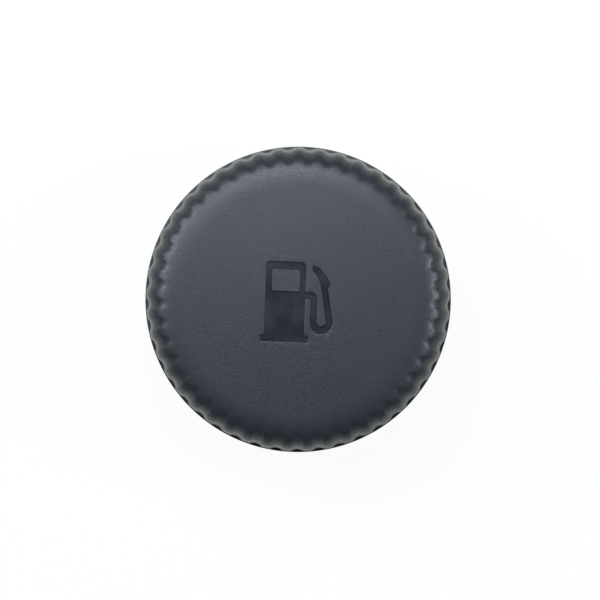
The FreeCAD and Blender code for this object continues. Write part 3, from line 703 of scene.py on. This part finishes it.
def softened(node, width):
    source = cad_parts[node]
    shape = source.data.copy()
    shape.transform(source.matrix_world)
    shape.materials.clear()
    piece = bpy.data.objects.new(node + "Form", shape)
    bpy.context.scene.collection.objects.link(piece)
    mergeMesh(piece)
    edit(piece)
    bpy.ops.mesh.select_all(action="SELECT")
    bpy.ops.mesh.dissolve_limited(angle_limit=math.radians(roundSizes["flat"]))
    leaveEdit()
    bevel = piece.modifiers.new("round", "BEVEL")
    bevel.width = width * mm
    bevel.segments = roundSizes["segments"]
    bevel.limit_method = "ANGLE"
    bevel.angle_limit = math.radians(roundSizes["sharp"])
    applyAll(piece)
    return piece


softPieces = {  # body, material slot, radius of the rounded edges
    "closure_body": ("closure", "closure_plastic", 0.25),
    "ratchet_ring": ("closure", "ratchet_plastic", 0.10),
    "ratchet_clip": ("closure", "spring_steel", 0.10),
    "thrust_washer": ("closure", "washer_plastic", 0.08),
    "seat_plate": ("closure", "closure_plastic", 0.10),
    "seat_seal": ("closure", "seal_rubber", 0.12),
    "seat_circlip": ("closure", "spring_steel", 0.10),
    "spring_cup": ("closure", "plated_steel", 0.15),
    "bottom_guard": ("closure", "closure_plastic", 0.18),
    "pawl_ring": ("knob_unit", "ratchet_plastic", 0.06),
    "retaining_ring": ("knob_unit", "spring_steel", 0.12),
    "pressure_plate": ("pressure_valve", "plated_steel", 0.12),
    "pressure_gasket": ("pressure_valve", "seal_rubber", 0.12),
    "vacuum_poppet": ("vacuum_valve", "ratchet_plastic", 0.15),
    "vacuum_keeper": ("vacuum_valve", "plated_steel", 0.10),
}


def settle(piece, node, body, slot):
    piece.data.materials.append(finishes[slot])
    smooth(piece)
    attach(piece, body)
    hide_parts(node)


for node, (body, slot, width) in softPieces.items():
    piece = softened(node, width)
    settle(piece, node, body, slot)
    print(node, len(piece.data.polygons), "faces")


sealSizes = {
    "inner": 22.7,
    "outer": 31.0,
    "bottom": 24.5,
    "top": 27.5,
    "round": 0.8,
    "edge": 0.1,
    "steps": 144,
}


def makeSeal():  # moulded ring with round lower edges
    inner, outer, bottom, top, corner, edge, steps = sealSizes.values()
    arc = [(corner * (1 - math.cos(turn)), corner * (1 - math.sin(turn))) for turn in quarterTurn(4)]
    profile = [(inner + edge, top), (inner, top - edge)] + [(inner + a, bottom + b) for a, b in arc]
    profile += [(outer - b, bottom + a) for a, b in arc] + [(outer, top - edge), (outer - edge, top)]
    return turnedPiece("neckSealForm", profile, steps, closed=True)


settle(makeSeal(), "neck_seal", "closure", "seal_rubber")


springSizes = {  # low and high are the seats, fixed is the end that stays, travel is that of the joint
    "pressure_spring": {
        "radius": 10.507, "wire": 1.2, "low": 14.2, "high": 26.5, "turns": 3,
        "body": "closure", "joint": "pressure_valve_lift", "fixed": 26.5, "travel": 2.0},
    "vacuum_spring": {
        "radius": 4.256, "wire": 0.6, "low": 14.2, "high": 20.8, "turns": 3,
        "body": "pressure_valve", "joint": "vacuum_valve_drop", "fixed": 14.2, "travel": 1.5},
}
wireSides, coilSteps = 16, 64


def makeSpring(node):  # round wire, open coils
    radius, wire, low, high, turns, body, joint, fixed, travel = springSizes[node].values()
    pick()
    bpy.ops.mesh.primitive_circle_add(vertices=wireSides, radius=wire / 2 * mm, location=(0, 0, 0))
    spring = bpy.context.object
    spring.name = spring.data.name = node + "Form"
    edit(spring)
    bpy.ops.mesh.select_all(action="SELECT")
    bpy.ops.transform.rotate(value=math.radians(90), orient_axis="X", center_override=(0, 0, 0))
    bpy.ops.transform.translate(value=(radius * mm, 0, (low + wire / 2) * mm))
    leaveEdit()
    wind = spring.modifiers.new("wind", "SCREW")
    wind.axis = "Z"
    wind.angle = math.tau
    wind.screw_offset = (high - low - wire) / turns * mm
    wind.iterations = turns
    wind.steps = wind.render_steps = coilSteps
    applyAll(spring)
    middle = (low + high) / 2
    for end in (-1, 1):  # closes both ends of the wire
        edit(spring)
        choose(lambda edge: edge.is_boundary and (placeOf(edge)[1] - middle) * end > 0, "EDGE")
        bpy.ops.mesh.edge_face_add()
        leaveEdit()
    mergeMesh(spring)
    settle(spring, node, body, "spring_steel")
    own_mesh(spring)


for node in springSizes:
    makeSpring(node)
print("pieces under the knob made")


# Camera, floor and light

viewSizes = {
    "distance": 2.5,  # metres; the photo has next to no perspective
    "width": 0.15906,  # metres across the picture at the lip
    "roll": 2.3,  # degrees that the symbol leans clockwise
    "right": 0.5,  # how far the cap stands left of the middle
    "down": 0.17,  # how far it stands above the middle
    "sensor": 36,
    "clip": 20,  # metres
}


def makeCamera():
    camera = bpy.data.cameras.new("camera")
    holder = bpy.data.objects.new("camera", camera)
    bpy.context.scene.collection.objects.link(holder)
    roll = math.radians(viewSizes["roll"])
    right, up = Vector((math.cos(roll), math.sin(roll))), Vector((-math.sin(roll), math.cos(roll)))
    place = (right * viewSizes["right"] - up * viewSizes["down"]) * mm
    holder.location = (place.x, place.y, lipTop * mm + viewSizes["distance"])
    holder.rotation_euler = (0, 0, roll)
    camera.sensor_width = viewSizes["sensor"]
    camera.lens = camera.sensor_width * viewSizes["distance"] / viewSizes["width"]
    camera.clip_end = viewSizes["clip"]
    bpy.context.scene.camera = holder


floorSizes = {
    "width": 12,  # metres
    "clear": 0.02,  # below the barrel's foot, so that the two don't share a plane
    "colour": "#e6e8da",
    "eyeShare": 0.94,  # how much of the floor that the camera sees is plain white
    "mirrorShare": 0.12,  # how much of it in a reflection
}


def makeFloor():  # plain paper, white from above and clear from below, that keeps the cap's soft shadow
    pick()
    bpy.ops.mesh.primitive_plane_add(size=floorSizes["width"], location=(0, 0, -floorSizes["clear"] * mm))
    bpy.ops.object.transform_apply(location=True)
    floor = bpy.context.object
    floor.name = floor.data.name = "floor"
    material = bpy.data.materials.new("floorPaper")
    material.use_nodes = True
    tree = material.node_tree
    tree.nodes.clear()
    ray = addNode(tree, "ShaderNodeLightPath")
    side = addNode(tree, "ShaderNodeNewGeometry")
    paper = addNode(tree, "ShaderNodeBsdfDiffuse", {"Color": toLinear(floorSizes["colour"])})
    white = addNode(tree, "ShaderNodeEmission", {"Strength": 1.0})
    clear = addNode(tree, "ShaderNodeBsdfTransparent")
    eye = addNode(tree, "ShaderNodeMath", {"operation": "MULTIPLY", 1: floorSizes["eyeShare"]},
                  {0: ray.outputs["Is Camera Ray"]})
    share = addNode(tree, "ShaderNodeMath", {"operation": "MULTIPLY_ADD", 1: floorSizes["mirrorShare"]},
                    {0: ray.outputs["Is Glossy Ray"], 2: eye.outputs[0]})
    above = addNode(tree, "ShaderNodeMixShader", {},
                    {0: share.outputs[0], 1: paper.outputs[0], 2: white.outputs[0]})
    both = addNode(tree, "ShaderNodeMixShader", {},
                   {0: side.outputs["Backfacing"], 1: above.outputs[0], 2: clear.outputs[0]})
    addNode(tree, "ShaderNodeOutputMaterial", {}, {"Surface": both.outputs[0]})
    floor.data.materials.append(material)


lampSizes = {  # place, size (both metres) and watts; each is aimed at the cap
    "topSoftbox": ((-0.06, 0.28, 0.60), 0.32, 3.1),
    "leftSoftbox": ((-0.53, 0.20, 0.54), 0.34, 4.1),
    "rightSoftbox": ((0.57, 0.05, 0.50), 0.24, 3.0),
}
lampColour = "#ebf1fb"  # daylight, slightly cool


def makeLamp(name, place, width, watts):
    lamp = bpy.data.lights.new(name, "AREA")
    lamp.size = width
    lamp.energy = watts
    lamp.color = toLinear(lampColour)[:3]
    holder = bpy.data.objects.new(name, lamp)
    bpy.context.scene.collection.objects.link(holder)
    holder.location = place
    holder.rotation_euler = (-Vector(place)).to_track_quat("-Z", "Y").to_euler()


roomColour, roomLight = "#d0d6da", 0.16


def makeWorld():  # even light from the room, and white behind the cap
    world = bpy.data.worlds.new("room")
    bpy.context.scene.world = world
    world.use_nodes = True
    tree = world.node_tree
    tree.nodes.clear()
    ray = addNode(tree, "ShaderNodeLightPath")
    room = addNode(tree, "ShaderNodeBackground", {"Color": toLinear(roomColour), "Strength": roomLight})
    white = addNode(tree, "ShaderNodeBackground", {"Strength": 1.0})
    both = addNode(tree, "ShaderNodeMixShader", {},
                   {0: ray.outputs["Is Camera Ray"], 1: room.outputs[0], 2: white.outputs[0]})
    addNode(tree, "ShaderNodeOutputWorld", {}, {"Surface": both.outputs[0]})


makeCamera()
makeFloor()
for lampName, (place, width, watts) in lampSizes.items():
    makeLamp(lampName, place, width, watts)
makeWorld()
bpy.context.scene.view_settings.view_transform = "Standard"
print("stage made")
